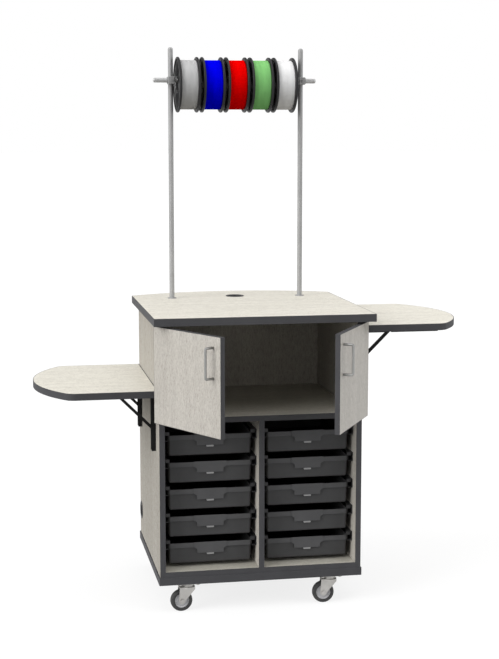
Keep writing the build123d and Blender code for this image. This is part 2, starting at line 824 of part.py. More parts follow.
def winding(x_left):
    """The wound filament, a thick ring between the flanges."""
    side_gap = 0.3
    start = flange_setback + spool_flange + side_gap
    with BuildPart() as ring:
        with BuildSketch(spool_plane(x_left).offset(start)):
            Circle(winding_radius)
            Circle(spool_core_radius + 0.2, mode=Mode.SUBTRACT)
        extrude(amount=spool_width - 2 * start)
        fillet(ring.edges().filter_by(GeomType.CIRCLE).group_by(SortBy.RADIUS)[-1], radius=4)
    return ring.part


for number in range(spool_count):
    x_left = spool_first + number * spool_pitch
    save(f"spool_{number + 1}", spool(x_left))
    save(f"filament_{number + 1}", winding(x_left))


# --- casters ------------------------------------------------------------------------------------
plate_thickness = 3
plate_x = 84
plate_y = 70
bolt_pitch_x = 64
bolt_pitch_y = 50
race_radius = 24
fork_top = 90
kingpin_radius = 5


def caster_plate(x, y):
    """Top plate with its bearing dish, the kingpin and four bolts into the base board."""
    plate_low = caster_height - plate_thickness
    with BuildPart() as plate:
        with BuildSketch(Plane(origin=(x, y, plate_low), z_dir=(0, 0, 1))):
            RectangleRounded(plate_x, plate_y, 8)
            with GridLocations(bolt_pitch_x, bolt_pitch_y, 2, 2):
                Circle(3.2, mode=Mode.SUBTRACT)
        extrude(amount=plate_thickness)
        with BuildSketch(Plane(origin=(x, y, plate_low), z_dir=(0, 0, -1))):
            Circle(race_radius)
        extrude(amount=10, taper=20)
    solids = [plate.part]
    with BuildPart() as kingpin:
        add(bar((x, y, fork_top - 5.5), (0, 0, 1), kingpin_radius + 3, 2.6))
        add(bar((x, y, fork_top - 3), (0, 0, 1), kingpin_radius, 8))
    solids.append(kingpin.part)
    for dx in (-bolt_pitch_x / 2, bolt_pitch_x / 2):
        for dy in (-bolt_pitch_y / 2, bolt_pitch_y / 2):
            with BuildPart() as bolt:
                with BuildSketch(Plane(origin=(x + dx, y + dy, plate_low - 4), z_dir=(0, 0, 1))):
                    RegularPolygon(5, 6, major_radius=False)
                extrude(amount=4)
                add(bar((x + dx, y + dy, plate_low), (0, 0, 1), 3, plate_thickness))
            solids.append(bolt.part)
    return solids


def caster_fork(x, y, turn):
    """A stamped swivel fork, its axle bolt and nut; local X points along the trail."""
    along = (cos(radians(turn)), sin(radians(turn)), 0)
    across = (-along[1], along[0], 0)
    side_plane = Plane(origin=(x, y, 0), x_dir=along, z_dir=across)
    level = -1 if side_plane.y_dir.Z < 0 else 1
    trail = caster_trail
    with BuildPart() as fork:
        with BuildSketch(side_plane):
            with BuildLine():
                Polyline(
                    (trail + 8, level * fork_top),
                    (trail + 12, level * wheel_radius),
                    (trail - 12, level * wheel_radius),
                    (-22, level * (fork_top - 8)),
                    (-22, level * fork_top),
                    close=True,
                )
            make_face()
            with Locations((trail, level * wheel_radius)):
                Circle(12)
                Circle(axle_radius, mode=Mode.SUBTRACT)
        extrude(amount=fork_inner + fork_steel, both=True)
        with BuildSketch(side_plane):
            with Locations((0, level * (fork_top - fork_steel) / 2)):
                Rectangle(200, fork_top - fork_steel)
        extrude(amount=fork_inner, both=True, mode=Mode.SUBTRACT)
        with BuildSketch(Plane(origin=(x, y, fork_top - fork_steel), z_dir=(0, 0, 1))):
            Circle(race_radius)
        extrude(amount=fork_steel)
        with BuildSketch(Plane(origin=(x, y, fork_top), z_dir=(0, 0, 1))):
            Circle(race_radius - 6)
        extrude(amount=4)
        with BuildSketch(Plane(origin=(x, y, fork_top - fork_steel), z_dir=(0, 0, 1))):
            Circle(kingpin_radius + pin_clearance)
        extrude(amount=fork_steel + 4, mode=Mode.SUBTRACT)
    wheel_center = Vector(x, y, wheel_radius) + Vector(*along) * trail
    outer = fork_inner + fork_steel
    start = wheel_center - Vector(*across) * (outer + 1)
    axle = bar(tuple(start), across, axle_radius - 0.02, 2 * outer + 2)
    solids = [fork.part]
    with BuildPart() as bolt:
        add(axle)
        with BuildSketch(Plane(origin=tuple(wheel_center + Vector(*across) * outer), z_dir=across)):
            RegularPolygon(6.5, 6, major_radius=False)
        extrude(amount=5)
    solids.append(bolt.part)
    with BuildPart() as nut:
        with BuildSketch(Plane(origin=tuple(wheel_center - Vector(*across) * outer), z_dir=across)):
            RegularPolygon(6.5, 6, major_radius=False)
            Circle(axle_radius + 0.05, mode=Mode.SUBTRACT)
        extrude(amount=-5)
    solids.append(nut.part)
    return group(solids)


def caster_wheel(x, y, turn):
    """A grey hub with a black tyre moulded round it."""
    along = Vector(cos(radians(turn)), sin(radians(turn)), 0)
    across = Vector(-along.Y, along.X, 0)
    center = Vector(x, y, wheel_radius) + along * caster_trail
    start = Plane(origin=tuple(center - across * wheel_width / 2), z_dir=tuple(across))
    with BuildPart() as hub:
        with BuildSketch(start.offset(1)):
            Circle(wheel_hub_radius)
        extrude(amount=wheel_width - 2)
        with BuildSketch(start.offset(-2)):
            Circle(9)
        extrude(amount=wheel_width + 4)
        with BuildSketch(start.offset(-2)):
            Circle(wheel_bore_radius)
        extrude(amount=wheel_width + 4, mode=Mode.SUBTRACT)
    with BuildPart() as tyre:
        with BuildSketch(start):
            Circle(wheel_radius)
            Circle(wheel_hub_radius, mode=Mode.SUBTRACT)
        extrude(amount=wheel_width)
        outer_edges = tyre.edges().filter_by(GeomType.CIRCLE).group_by(SortBy.RADIUS)[-1]
        fillet(outer_edges, radius=6)
    return group([hub.part, tyre.part])


caster_plates = []
for place, (x, y) in caster_places.items():
    caster_plates.extend(caster_plate(x, y))
    save(f"caster_fork_{place}", caster_fork(x, y, caster_turn[place]))
    save(f"caster_wheel_{place}", caster_wheel(x, y, caster_turn[place]))
save("caster_plates", group(caster_plates))
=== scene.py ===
import json
import math

import bmesh
import bpy
from mathutils import Matrix, Vector


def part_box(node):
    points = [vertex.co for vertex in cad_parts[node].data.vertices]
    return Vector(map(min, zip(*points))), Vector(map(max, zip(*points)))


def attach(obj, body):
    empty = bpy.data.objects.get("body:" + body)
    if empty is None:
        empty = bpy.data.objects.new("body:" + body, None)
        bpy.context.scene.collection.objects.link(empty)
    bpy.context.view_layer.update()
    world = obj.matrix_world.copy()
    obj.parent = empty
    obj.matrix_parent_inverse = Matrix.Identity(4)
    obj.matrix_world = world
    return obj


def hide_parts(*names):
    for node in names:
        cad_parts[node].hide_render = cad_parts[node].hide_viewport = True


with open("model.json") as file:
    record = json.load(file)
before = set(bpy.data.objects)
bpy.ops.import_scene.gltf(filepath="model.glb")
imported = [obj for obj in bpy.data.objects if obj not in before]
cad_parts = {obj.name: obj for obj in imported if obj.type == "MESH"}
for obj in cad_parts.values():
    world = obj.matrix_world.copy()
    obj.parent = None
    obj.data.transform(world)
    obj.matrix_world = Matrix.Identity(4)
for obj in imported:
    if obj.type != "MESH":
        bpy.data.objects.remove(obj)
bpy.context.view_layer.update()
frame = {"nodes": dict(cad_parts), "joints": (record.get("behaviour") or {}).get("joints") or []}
nodes = frame["nodes"]
joints = {joint["name"]: joint for joint in frame["joints"]}

# Mobile maker cart, dressed for rendering. Metres, in the shared frame: Z up, doors facing -Y.

# --- sizes --------------------------------------------------------------------------------------
MM = 0.001
SIDES = {"left": -1, "right": 1}
CASTER_PLACES = ("front_left", "front_right", "rear_left", "rear_right")
TRAYS_PER_COLUMN = 5
DOOR_OPEN = math.radians(60)    # how far the doors stand open at rest
WING_STRAIGHT = 312 * MM        # cabinet side to where the bow of a wing's end begins
WING_CORNER = 45 * MM           # radius of a wing's outer corners
WING_BAND = 2 * MM              # width of the band round a wing
HALF_WIDTH = 370 * MM           # cabinet middle to its side
EDGE_STRIP = 1 * MM             # thickness of the strip round a door
SPOOL_CORE = 40.2 * MM          # inner radius of a winding
FLANGE_SETBACK = 2.75 * MM      # flange faces lie this far inside the beaded rims
RIB_COUNT = 16                  # radial ribs on the outside of a flange
RIB_WIDTH = 3 * MM
RIB_HEIGHT = 2 * MM
RIB_INNER = 34 * MM
RIB_OUTER = 94 * MM
THREAD = 1.75 * MM              # thickness of the filament
THREAD_DEPTH = 0.45 * MM        # how deep the valleys between the turns are
WINDING_ROUND = 4 * MM          # how far a winding's shoulders are rounded
ROD_DOME = 6 * MM               # rounding of the rod's ends
ROD_GROOVE = 3 * MM             # from one groove to the next
ROD_GROOVE_DEPTH = 0.5 * MM
TAB_RISE = 2 * MM               # how far a tray's tab stands above its rim
TAB_DEPTH = 2.6 * MM            # rim front and tab, painted lighter as lit, measured back from the tab's face
LATCH_TOP = 38.3 * MM           # the small latch below the tab, painted light as a highlight, measured down from the rim
LATCH_BOTTOM = 45 * MM
LATCH_HALF = 13.2 * MM
LATCH_DEPTH = 8 * MM

# Turned profiles in millimetres, each point (along the axle from the wheel's middle, radius).
HALF_HUB = [(11, 26), (11, 23.6), (9.6, 22.6), (9.6, 11.5), (10.6, 9.8), (14, 9), (14, 4.08)]
HALF_TYRE = [(11.5, 26), (12, 27), (12, 33), (11.4, 36), (9.6, 38.4), (7, 39.6), (3.5, 40)]


def both_halves(half):
    """A closed profile from its right half, in metres."""
    mirrored = [(-along, radius) for along, radius in reversed(half)]
    return [(along * MM, radius * MM) for along, radius in half + mirrored]


HUB_PROFILE = both_halves(HALF_HUB)
TYRE_PROFILE = both_halves(HALF_TYRE)

# How far edges are rounded.
BOARD_EDGE = 0.4 * MM
SHELF_EDGE = 0.3 * MM
BAND_EDGE = 0.6 * MM
PLASTIC_EDGE = 0.5 * MM
SHEET_EDGE = 0.3 * MM           # pressed steel of the folding brackets
FINE_EDGE = 0.2 * MM            # screws and hinges
CASTER_EDGE = 0.4 * MM


# --- material helpers ---------------------------------------------------------------------------
class Look:
    """A procedural material under construction."""

    def __init__(self, name, roughness, metallic=0.0):
        self.material = bpy.data.materials.new(name)
        self.material.use_nodes = True
        self.tree = self.material.node_tree
        self.shader = self.tree.nodes["Principled BSDF"]
        self.shader.inputs["Roughness"].default_value = roughness
        self.shader.inputs["Metallic"].default_value = metallic
        self.coordinates = self.tree.nodes.new("ShaderNodeTexCoord").outputs["Object"]

    def link(self, source, target):
        self.tree.links.new(source, target)

    def noise(self, scale, detail=3.0, stretch=(1, 1, 1), roughness=0.55):
        """Noise per metre; stretch scales each axis, so a small value draws the pattern out."""
        mapping = self.tree.nodes.new("ShaderNodeMapping")
        mapping.inputs["Scale"].default_value = stretch
        self.link(self.coordinates, mapping.inputs["Vector"])
        texture = self.tree.nodes.new("ShaderNodeTexNoise")
        texture.inputs["Scale"].default_value = scale
        texture.inputs["Detail"].default_value = detail
        texture.inputs["Roughness"].default_value = roughness
        self.link(mapping.outputs["Vector"], texture.inputs["Vector"])
        return texture.outputs["Fac"]

    def ramp(self, factor, stops):
        """Map a factor through colour stops, each (position, (r, g, b))."""
        node = self.tree.nodes.new("ShaderNodeValToRGB")
        elements = node.color_ramp.elements
        while len(elements) < len(stops):
            elements.new(0.5)
        for element, (position, colour) in zip(elements, stops):
            element.position = position
            element.color = (*colour, 1)
        self.link(factor, node.inputs["Fac"])
        return node.outputs["Color"]

    def multiply(self, first, second):
        """The product of two colours."""
        node = self.tree.nodes.new("ShaderNodeMix")
        node.data_type = "RGBA"
        node.blend_type = "MULTIPLY"
        node.inputs["Factor"].default_value = 1.0
        colours = [socket for socket in node.inputs if socket.type == "RGBA"]
        self.link(first, colours[0])
        self.link(second, colours[1])
        return next(socket for socket in node.outputs if socket.type == "RGBA")

    def shine(self, level):
        """How strongly the surface mirrors, 0.5 being usual."""
        self.shader.inputs["Specular IOR Level"].default_value = level

    def colour(self, socket):
        self.link(socket, self.shader.inputs["Base Color"])

    def roughness(self, factor, low, high):
        """Let the roughness follow a factor between two values."""
        node = self.tree.nodes.new("ShaderNodeMapRange")
        node.inputs["To Min"].default_value = low
        node.inputs["To Max"].default_value = high
        self.link(factor, node.inputs["Value"])
        self.link(node.outputs["Result"], self.shader.inputs["Roughness"])

    def bump(self, height, distance, strength):
        """Relief of the given depth in metres."""
        node = self.tree.nodes.new("ShaderNodeBump")
        node.inputs["Distance"].default_value = distance
        node.inputs["Strength"].default_value = strength
        self.link(height, node.inputs["Height"])
        self.link(node.outputs["Normal"], self.shader.inputs["Normal"])


def laminate(name, along, low, high, shine=0.5):
    """Light wood print on a satin laminate, with its grain along one axis."""

    def drawn_out(amount):
        """A stretch that draws the pattern out along the grain."""
        return [amount if axis == along else 1.0 for axis in "xyz"]

    look = Look(name, roughness=0.45)
    look.shine(shine)
    broad = look.noise(26, detail=2.0, stretch=drawn_out(0.06))
    streaks = look.noise(400, detail=4.0, stretch=drawn_out(0.10), roughness=0.62)
    flecks = look.noise(520, detail=3.0, stretch=drawn_out(0.25))
    base = look.ramp(broad, [(0.3, low), (0.7, high)])
    grain = look.ramp(streaks, [
        (0.32, (0.66, 0.645, 0.63)),
        (0.50, (0.94, 0.935, 0.93)),
        (0.62, (1, 1, 1)),
    ])
    fine = look.ramp(flecks, [(0.36, (0.74, 0.73, 0.72)), (0.50, (1, 1, 1))])
    look.colour(look.multiply(look.multiply(base, grain), fine))
    look.roughness(streaks, 0.52, 0.38)
    look.bump(flecks, 0.05 * MM, 0.35)
    return look.material


def plastic(name, low, high, roughness, shine=0.5, grain=1800):
    """Moulded plastic with a fine sandy texture and a faint unevenness in tone."""
    look = Look(name, roughness)
    look.shine(shine)
    cloud = look.noise(14, detail=4.0)
    sand = look.noise(grain, detail=2.0)
    look.colour(look.ramp(cloud, [(0.3, low), (0.7, high)]))
    look.roughness(sand, roughness - 0.06, roughness + 0.08)
    look.bump(sand, 0.04 * MM, 0.5)
    return look.material


def metal(name, low, high, roughness, stretch=(1, 1, 1)):
    """Bare or plated metal with brush or draw marks along the axis that stretch draws out."""
    look = Look(name, roughness, metallic=1.0)
    cloud = look.noise(18, detail=4.0)
    marks = look.noise(900, detail=3.0, stretch=stretch)
    look.colour(look.ramp(cloud, [(0.3, low), (0.7, high)]))
    look.roughness(marks, roughness - 0.08, roughness + 0.12)
    look.bump(marks, 0.02 * MM, 0.4)
    return look.material


def paint(name, low, high, roughness, metallic=0.0, shine=0.5):
    """Powder coat: a slight orange peel over metal."""
    look = Look(name, roughness, metallic)
    look.shine(shine)
    cloud = look.noise(10, detail=3.0)
    peel = look.noise(420, detail=2.0)
    look.colour(look.ramp(cloud, [(0.3, low), (0.7, high)]))
    look.roughness(peel, roughness - 0.05, roughness + 0.07)
    look.bump(peel, 0.06 * MM, 0.4)
    return look.material


def filament(name, low, high):
    """Wound thread with a slow change of tone from layer to layer."""
    look = Look(name, roughness=0.45)
    look.shine(0.0)
    layers = look.noise(60, detail=3.0, stretch=(1, 0.15, 0.15))
    crossing = look.noise(240, detail=2.0, stretch=(1, 0.1, 0.1))
    look.colour(look.ramp(layers, [(0.3, low), (0.7, high)]))
    look.roughness(crossing, 0.42, 0.58)
    look.bump(crossing, 0.12 * MM, 0.5)
    return look.material


def rubber(name):
    """Dull rubber, a little dusty."""
    look = Look(name, roughness=0.7)
    dust = look.noise(40, detail=6.0)
    grain = look.noise(1500, detail=2.0)
    look.colour(look.ramp(dust, [(0.35, (0.020, 0.020, 0.021)), (0.75, (0.045, 0.044, 0.042))]))
    look.roughness(dust, 0.6, 0.85)
    look.bump(grain, 0.06 * MM, 0.5)
    return look.material


# One laminate in lit and shaded copies. The worktop and wing copies are painted much lighter, as painted
# light on their upward faces. The shelf copy is a little lighter, as painted light. The carcass copy is
# a little darker than the doors' copy, as painted shade.
shaded_carcass = laminate("carcass_laminate", "z", (0.385, 0.366, 0.330), (0.430, 0.411, 0.372), shine=0.0)
lit_shelf_laminate = laminate("lit_shelf_laminate", "x", (0.440, 0.425, 0.375), (0.490, 0.475, 0.420))
door_laminate = laminate("door_laminate", "z", (0.412, 0.389, 0.353), (0.465, 0.442, 0.401))
lit_top_laminate = laminate("lit_top_laminate", "x", (0.66, 0.635, 0.565), (0.73, 0.705, 0.630), shine=0.2)
lit_wing_laminate = laminate("lit_wing_laminate", "x", (0.70, 0.675, 0.600), (0.77, 0.745, 0.665), shine=0.2)
dark_band = plastic("graphite_band", (0.043, 0.043, 0.046), (0.051, 0.051, 0.055), 0.62, shine=0.2,
                    grain=1200)
tray_plastic = plastic("tray_plastic", (0.042, 0.042, 0.043), (0.050, 0.050, 0.051), 0.5, shine=0.2)
# The rim front and tab are the tray's own plastic painted lighter, as painted light on the faces that
# catch it.
tray_rim_lit_plastic = plastic("tray_rim_lit_plastic", (0.060, 0.060, 0.062), (0.070, 0.070, 0.072), 0.46,
                           shine=0.2)
# The latch is painted light grey. It is a plain plate, lightened further as a painted highlight where
# light catches its top.
tray_latch_highlight_plastic = plastic("tray_latch_highlight_plastic", (0.24, 0.24, 0.24), (0.30, 0.30, 0.30), 0.4)
runner_plastic = plastic("runner_plastic", (0.018, 0.018, 0.019), (0.026, 0.026, 0.027), 0.42, shine=0.3)
grommet_plastic = plastic("grommet_plastic", (0.022, 0.022, 0.023), (0.032, 0.032, 0.034), 0.4)
spool_plastic = plastic("spool_plastic", (0.006, 0.006, 0.007), (0.011, 0.011, 0.012), 0.42, shine=0.25,
                        grain=700)
hub_plastic = plastic("hub_plastic", (0.33, 0.33, 0.34), (0.40, 0.40, 0.41), 0.45)
handle_steel = metal("handle_steel", (0.22, 0.22, 0.215), (0.29, 0.29, 0.28), 0.42, stretch=(1, 1, 0.05))
plated_steel = metal("plated_steel", (0.38, 0.37, 0.355), (0.50, 0.49, 0.47), 0.52)
rod_steel = paint("rod_steel", (0.40, 0.40, 0.40), (0.48, 0.48, 0.48), 0.45, metallic=0.3)
bracket_paint = paint("bracket_paint", (0.003, 0.003, 0.003), (0.006, 0.006, 0.006), 0.5, shine=0.15)
post_paint = paint("post_paint", (0.26, 0.26, 0.26), (0.31, 0.31, 0.31), 0.55, metallic=0.2)
clamp_paint = paint("clamp_paint", (0.24, 0.24, 0.24), (0.30, 0.30, 0.30), 0.44, metallic=0.3)
tyre_rubber = rubber("tyre_rubber")
filaments = {
    "filament_grey": filament("thread_grey", (0.38, 0.38, 0.38), (0.46, 0.46, 0.46)),
    "filament_blue": filament("thread_blue", (0.000, 0.000, 0.56), (0.001, 0.001, 0.70)),
    "filament_red": filament("thread_red", (0.58, 0.000, 0.000), (0.70, 0.001, 0.001)),
    "filament_green": filament("thread_green", (0.17, 0.42, 0.14), (0.21, 0.50, 0.17)),
    "filament_white": filament("thread_white", (0.62, 0.62, 0.62), (0.72, 0.72, 0.72)),
}


# --- shaping helpers ----------------------------------------------------------------------------
def dress(node, *materials, choose=None):
    """Give a CAD node its materials; choose picks one per face by the face's middle."""
    mesh = nodes[node].data
    mesh.materials.clear()
    for material in materials:
        mesh.materials.append(material)
    for face in mesh.polygons:
        face.material_index = choose(face.center) if choose else 0


def soften(thing, width, weld=True):
    """Round an object's sharp edges; a CAD mesh is welded first, as its surfaces share no points."""
    if weld:
        merge = thing.modifiers.new("weld", "WELD")
        merge.merge_threshold = 0.01 * MM
    bevel = thing.modifiers.new("bevel", "BEVEL")
    bevel.width = width
    bevel.segments = 2
    bevel.limit_method = "ANGLE"
    bevel.angle_limit = math.radians(40)
    bevel.use_clamp_overlap = True
    thing.modifiers.new("normals", "WEIGHTED_NORMAL")


def add_piece(name, mesh, material, body, smooth=True):
    """Put a new mesh in the scene, riding on a CAD body."""
    mesh.materials.append(material)
    for face in mesh.polygons:
        face.use_smooth = smooth
    piece = bpy.data.objects.new(name, mesh)
    bpy.context.scene.collection.objects.link(piece)
    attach(piece, body)
    return piece


def mesh_from(name, shape):
    """Turn a finished bmesh into a mesh with its faces all outward."""
    bmesh.ops.recalc_face_normals(shape, faces=shape.faces)
    mesh = bpy.data.meshes.new(name)
    shape.to_mesh(mesh)
    shape.free()
    return mesh


def prism(name, outline, z_low, z_high, hole=None):
    """A flat board with the given outline, open in the middle where hole is given."""
    shape = bmesh.new()
    rings = [outline] if hole is None else [outline, hole]
    loops = []
    for ring in rings:
        for z in (z_low, z_high):
            loops.append([shape.verts.new((x, y, z)) for x, y in ring])
    count = len(outline)
    for index in range(count):
        following = (index + 1) % count
        shape.faces.new((loops[0][index], loops[0][following], loops[1][following], loops[1][index]))
        if hole is not None:
            shape.faces.new((loops[2][following], loops[2][index], loops[3][index], loops[3][following]))
            shape.faces.new((loops[1][index], loops[1][following], loops[3][following], loops[3][index]))
            shape.faces.new((loops[0][following], loops[0][index], loops[2][index], loops[2][following]))
    if hole is None:
        shape.faces.new(loops[1])
        shape.faces.new(list(reversed(loops[0])))
    return mesh_from(name, shape)


def lathe(name, profile, origin, axis, segments, closed=True):
    """Turn a profile of (along, radius) points about an axis; an open one is capped at its ends."""
    turn = Vector(axis).to_track_quat("Z", "Y").to_matrix()
    shape = bmesh.new()
    rings = []
    for along, radius in profile:
        ring = []
        for step in range(segments):
            angle = 2 * math.pi * step / segments
            local = Vector((radius * math.cos(angle), radius * math.sin(angle), along))
            ring.append(shape.verts.new(Vector(origin) + turn @ local))
        rings.append(ring)
    pairs = list(zip(rings, rings[1:]))
    if closed:
        pairs.append((rings[-1], rings[0]))
    for low, high in pairs:
        for step in range(segments):
            following = (step + 1) % segments
            shape.faces.new((low[step], low[following], high[following], high[step]))
    if not closed:
        shape.faces.new(rings[-1])
        shape.faces.new(list(reversed(rings[0])))
    return mesh_from(name, shape)


# --- cabinet ------------------------------------------------------------------------------------
# The worktop and shelves take the laminate copies painted lighter as lit; the carcass panels take the
# copy painted darker as shaded.
cabinet_finishes = [
    (("side_panel_left", "side_panel_right", "divider_panel", "back_panel"), shaded_carcass, BOARD_EDGE),
    (("bottom_panel", "fixed_shelf"), lit_shelf_laminate, SHELF_EDGE),
    (("worktop_board",), lit_top_laminate, SHELF_EDGE),
    (("base_board", "worktop_edging"), dark_band, BAND_EDGE),
    (("cable_grommets",), grommet_plastic, PLASTIC_EDGE),
    (("tray_runners",), runner_plastic, PLASTIC_EDGE),
    (("wood_screws", "door_hinge_frames"), plated_steel, FINE_EDGE),
]
for alike, material, edge in cabinet_finishes:
    for node in alike:
        dress(node, material)
        soften(nodes[node], edge)
# The glued strips touch each other, and so do a door's board and its strip: both stay sharp.
dress("panel_edging", dark_band)

# --- doors --------------------------------------------------------------------------------------
for side_name, side in SIDES.items():
    pivot = Vector(joints[f"door_{side_name}_hinge"]["pos_m"])
    close = Matrix.Rotation(-side * DOOR_OPEN, 3, "Z")
    low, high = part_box(f"door_{side_name}_panel")
    closed = [close @ (vertex.co - pivot) for vertex in nodes[f"door_{side_name}_panel"].data.vertices]
    x_ends = (min(p.x for p in closed), max(p.x for p in closed))

    def on_strip(center):
        """1 on the strip round the door's board, 0 on its faces."""
        x = (close @ (center - pivot)).x
        near_end = min(x - x_ends[0], x_ends[1] - x) < EDGE_STRIP
        near_top = min(center.z - low.z, high.z - center.z) < EDGE_STRIP
        return 1 if near_end or near_top else 0

    dress(f"door_{side_name}_panel", door_laminate, dark_band, choose=on_strip)
    dress(f"door_{side_name}_handle", handle_steel)
    dress(f"door_{side_name}_hinge_leaves", plated_steel)
    soften(nodes[f"door_{side_name}_hinge_leaves"], FINE_EDGE)

# --- trays --------------------------------------------------------------------------------------
for side_name in SIDES:
    for row in range(1, TRAYS_PER_COLUMN + 1):
        node = f"tray_{side_name}_{row}"
        low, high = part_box(node)
        rim_top = high.z - TAB_RISE
        middle_x = (low.x + high.x) / 2

        def tray_part(center):
            """2 on the latch, painted light grey as a plain plate with a painted highlight; 1 on the
            front of the rim with its tab, painted lighter as lit; 0 elsewhere.
            """
            below_rim = rim_top - center.z
            behind_tab = center.y - low.y
            in_latch = abs(center.x - middle_x) < LATCH_HALF and LATCH_TOP < below_rim < LATCH_BOTTOM
            if in_latch and behind_tab < LATCH_DEPTH:
                return 2
            return 1 if behind_tab < TAB_DEPTH and below_rim < LATCH_TOP else 0

        dress(node, tray_plastic, tray_rim_lit_plastic, tray_latch_highlight_plastic, choose=tray_part)
        soften(nodes[node], PLASTIC_EDGE)


# --- wings --------------------------------------------------------------------------------------
def arc(center, radius, start, end, steps):
    """Points on a circle from one angle in degrees to another."""
    points = []
    for step in range(steps + 1):
        angle = math.radians(start + (end - start) * step / steps)
        points.append((center[0] + radius * math.cos(angle), center[1] + radius * math.sin(angle)))
    return points


def wing_outline(side, inset):
    """The wing's outline, moved inward by inset: straight edges, rounded corners and a bowed end."""
    low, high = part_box("wing_left_board" if side < 0 else "wing_right_board")
    reach = high.x if side > 0 else -low.x
    inner = low.x if side > 0 else -high.x
    middle = (low.y + high.y) / 2
    half_chord = (high.y - low.y) / 2
    sagitta = reach - HALF_WIDTH - WING_STRAIGHT
    radius = (half_chord ** 2 + sagitta ** 2) / (2 * sagitta)
    center_x = reach - radius
    corner_y = half_chord - WING_CORNER
    corner_x = center_x + math.sqrt((radius - WING_CORNER) ** 2 - corner_y ** 2)
    lean = math.degrees(math.atan2(corner_y, corner_x - center_x))
    corner = WING_CORNER - inset
    points = [(inner + inset, middle - half_chord + inset)]
    points += arc((corner_x, middle - corner_y), corner, -90, -lean, 8)
    points += arc((center_x, middle), radius - inset, -lean, lean, 48)[1:-1]
    points += arc((corner_x, middle + corner_y), corner, lean, 90, 8)
    points.append((inner + inset, middle + half_chord - inset))
    return [(side * x, y) for x, y in points]


# The wing boards take the lightest laminate copy, painted light as lit from above.
for side_name, side in SIDES.items():
    node = f"wing_{side_name}_board"
    low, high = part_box(node)
    outer = wing_outline(side, 0)
    inner = wing_outline(side, WING_BAND)
    board = add_piece(f"{node}_laminate", prism(node, inner, low.z, high.z), lit_wing_laminate,
                      f"wing_{side_name}", smooth=False)
    band = add_piece(f"{node}_band", prism(f"{node}_band", outer, low.z, high.z, hole=inner), dark_band,
                     f"wing_{side_name}", smooth=False)
    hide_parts(node)
    for piece in (board, band):
        soften(piece, BAND_EDGE, weld=False)
    for node in (f"wing_{side_name}_arms", f"wing_{side_name}_braces"):
        dress(node, bracket_paint)
        soften(nodes[node], SHEET_EDGE)
dress("bracket_legs", bracket_paint)
soften(nodes["bracket_legs"], SHEET_EDGE)

# --- spool rack ---------------------------------------------------------------------------------
for side_name in SIDES:
    dress(f"spool_post_{side_name}", post_paint)
dress("rod_clamps", clamp_paint)


def ridges(start, end, pitch, crest, depth):
    """Points of a wavy profile between two places along an axis, one rounded ridge to each pitch."""
    count = round((end - start) / pitch)
    step = (end - start) / count
    points = []
    for index in range(count):
        left = start + index * step
        points += [
            (left, crest - depth),
            (left + 0.22 * step, crest - 0.25 * depth),
            (left + 0.5 * step, crest),
            (left + 0.78 * step, crest - 0.25 * depth),
        ]
    points.append((end, crest - depth))
    return points


def turned_rod():
    """The rod: domed ends, plain between the clamps and grooved where it stands out beyond them."""
    low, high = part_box("spool_rod")
    clamp_low, clamp_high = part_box("rod_clamps")
    radius = (high.z - low.z) / 2
    length = high.x - low.x
    bend = arc((0, 0), ROD_DOME, 0, 90, 6)
    dome = [(ROD_DOME - along, radius - ROD_DOME + out) for along, out in bend]
    left_end = ROD_DOME + MM
    right_end = length - left_end
    profile = dome + ridges(left_end, clamp_low.x - low.x, ROD_GROOVE, radius, ROD_GROOVE_DEPTH)
    profile += ridges(clamp_high.x - low.x, right_end, ROD_GROOVE, radius, ROD_GROOVE_DEPTH)
    profile += [(length - along, height) for along, height in reversed(dome)]
    middle = (low + high) / 2
    return lathe("rod", profile, (low.x, middle.y, middle.z), (1, 0, 0), segments=48, closed=False)


rod = add_piece("grooved_rod", turned_rod(), rod_steel, "cabinet")
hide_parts("spool_rod")


def flange_ribs(middle, face_x, outward):
    """Radial ribs moulded on the outer face of one spool flange."""
    shape = bmesh.new()
    height = outward * RIB_HEIGHT

    def slab(points):
        """A block that stands on the flange, on the ring of points given."""
        floor_ring = [shape.verts.new(middle + Vector((face_x - middle.x, *point))) for point in points]
        crown_ring = [shape.verts.new(vertex.co + Vector((height, 0, 0))) for vertex in floor_ring]
        count = len(points)
        for index in range(count):
            following = (index + 1) % count
            shape.faces.new((floor_ring[index], floor_ring[following],
                             crown_ring[following], crown_ring[index]))
        shape.faces.new(crown_ring)
        shape.faces.new(list(reversed(floor_ring)))

    for index in range(RIB_COUNT):
        angle = 2 * math.pi * index / RIB_COUNT
        along = Vector((math.cos(angle), math.sin(angle)))
        across = Vector((-along.y, along.x)) * RIB_WIDTH / 2
        slab([along * RIB_INNER - across, along * RIB_OUTER - across,
              along * RIB_OUTER + across, along * RIB_INNER + across])
    return mesh_from("flange_ribs", shape)


for number, (slot, thread) in enumerate(filaments.items(), start=1):
    dress(f"spool_{number}", spool_plastic)
    low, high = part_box(f"spool_{number}")
    middle = (low + high) / 2
    flange_faces = {"left": low.x + FLANGE_SETBACK, "right": high.x - FLANGE_SETBACK}
    for end, face_x in flange_faces.items():
        ribs = add_piece(f"spool_{number}_ribs_{end}", flange_ribs(middle, face_x, SIDES[end]),
                         spool_plastic, f"reel_{number}", smooth=False)
        soften(ribs, PLASTIC_EDGE, weld=False)
    low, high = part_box(f"filament_{number}")
    middle = (low + high) / 2
    radius = (high.z - low.z) / 2
    width = high.x - low.x
    shoulder = [
        (0, SPOOL_CORE),
        (0, radius - WINDING_ROUND),
        (0.3 * WINDING_ROUND, radius - 0.4 * WINDING_ROUND),
    ]
    profile = shoulder + ridges(WINDING_ROUND, width - WINDING_ROUND, THREAD, radius, THREAD_DEPTH)
    profile += [(width - along, out) for along, out in reversed(shoulder)]
    mesh = lathe(f"winding_{number}", profile, (low.x, middle.y, middle.z), (1, 0, 0), segments=128)
    winding = add_piece(f"winding_{number}", mesh, thread, f"reel_{number}")
    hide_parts(f"filament_{number}")

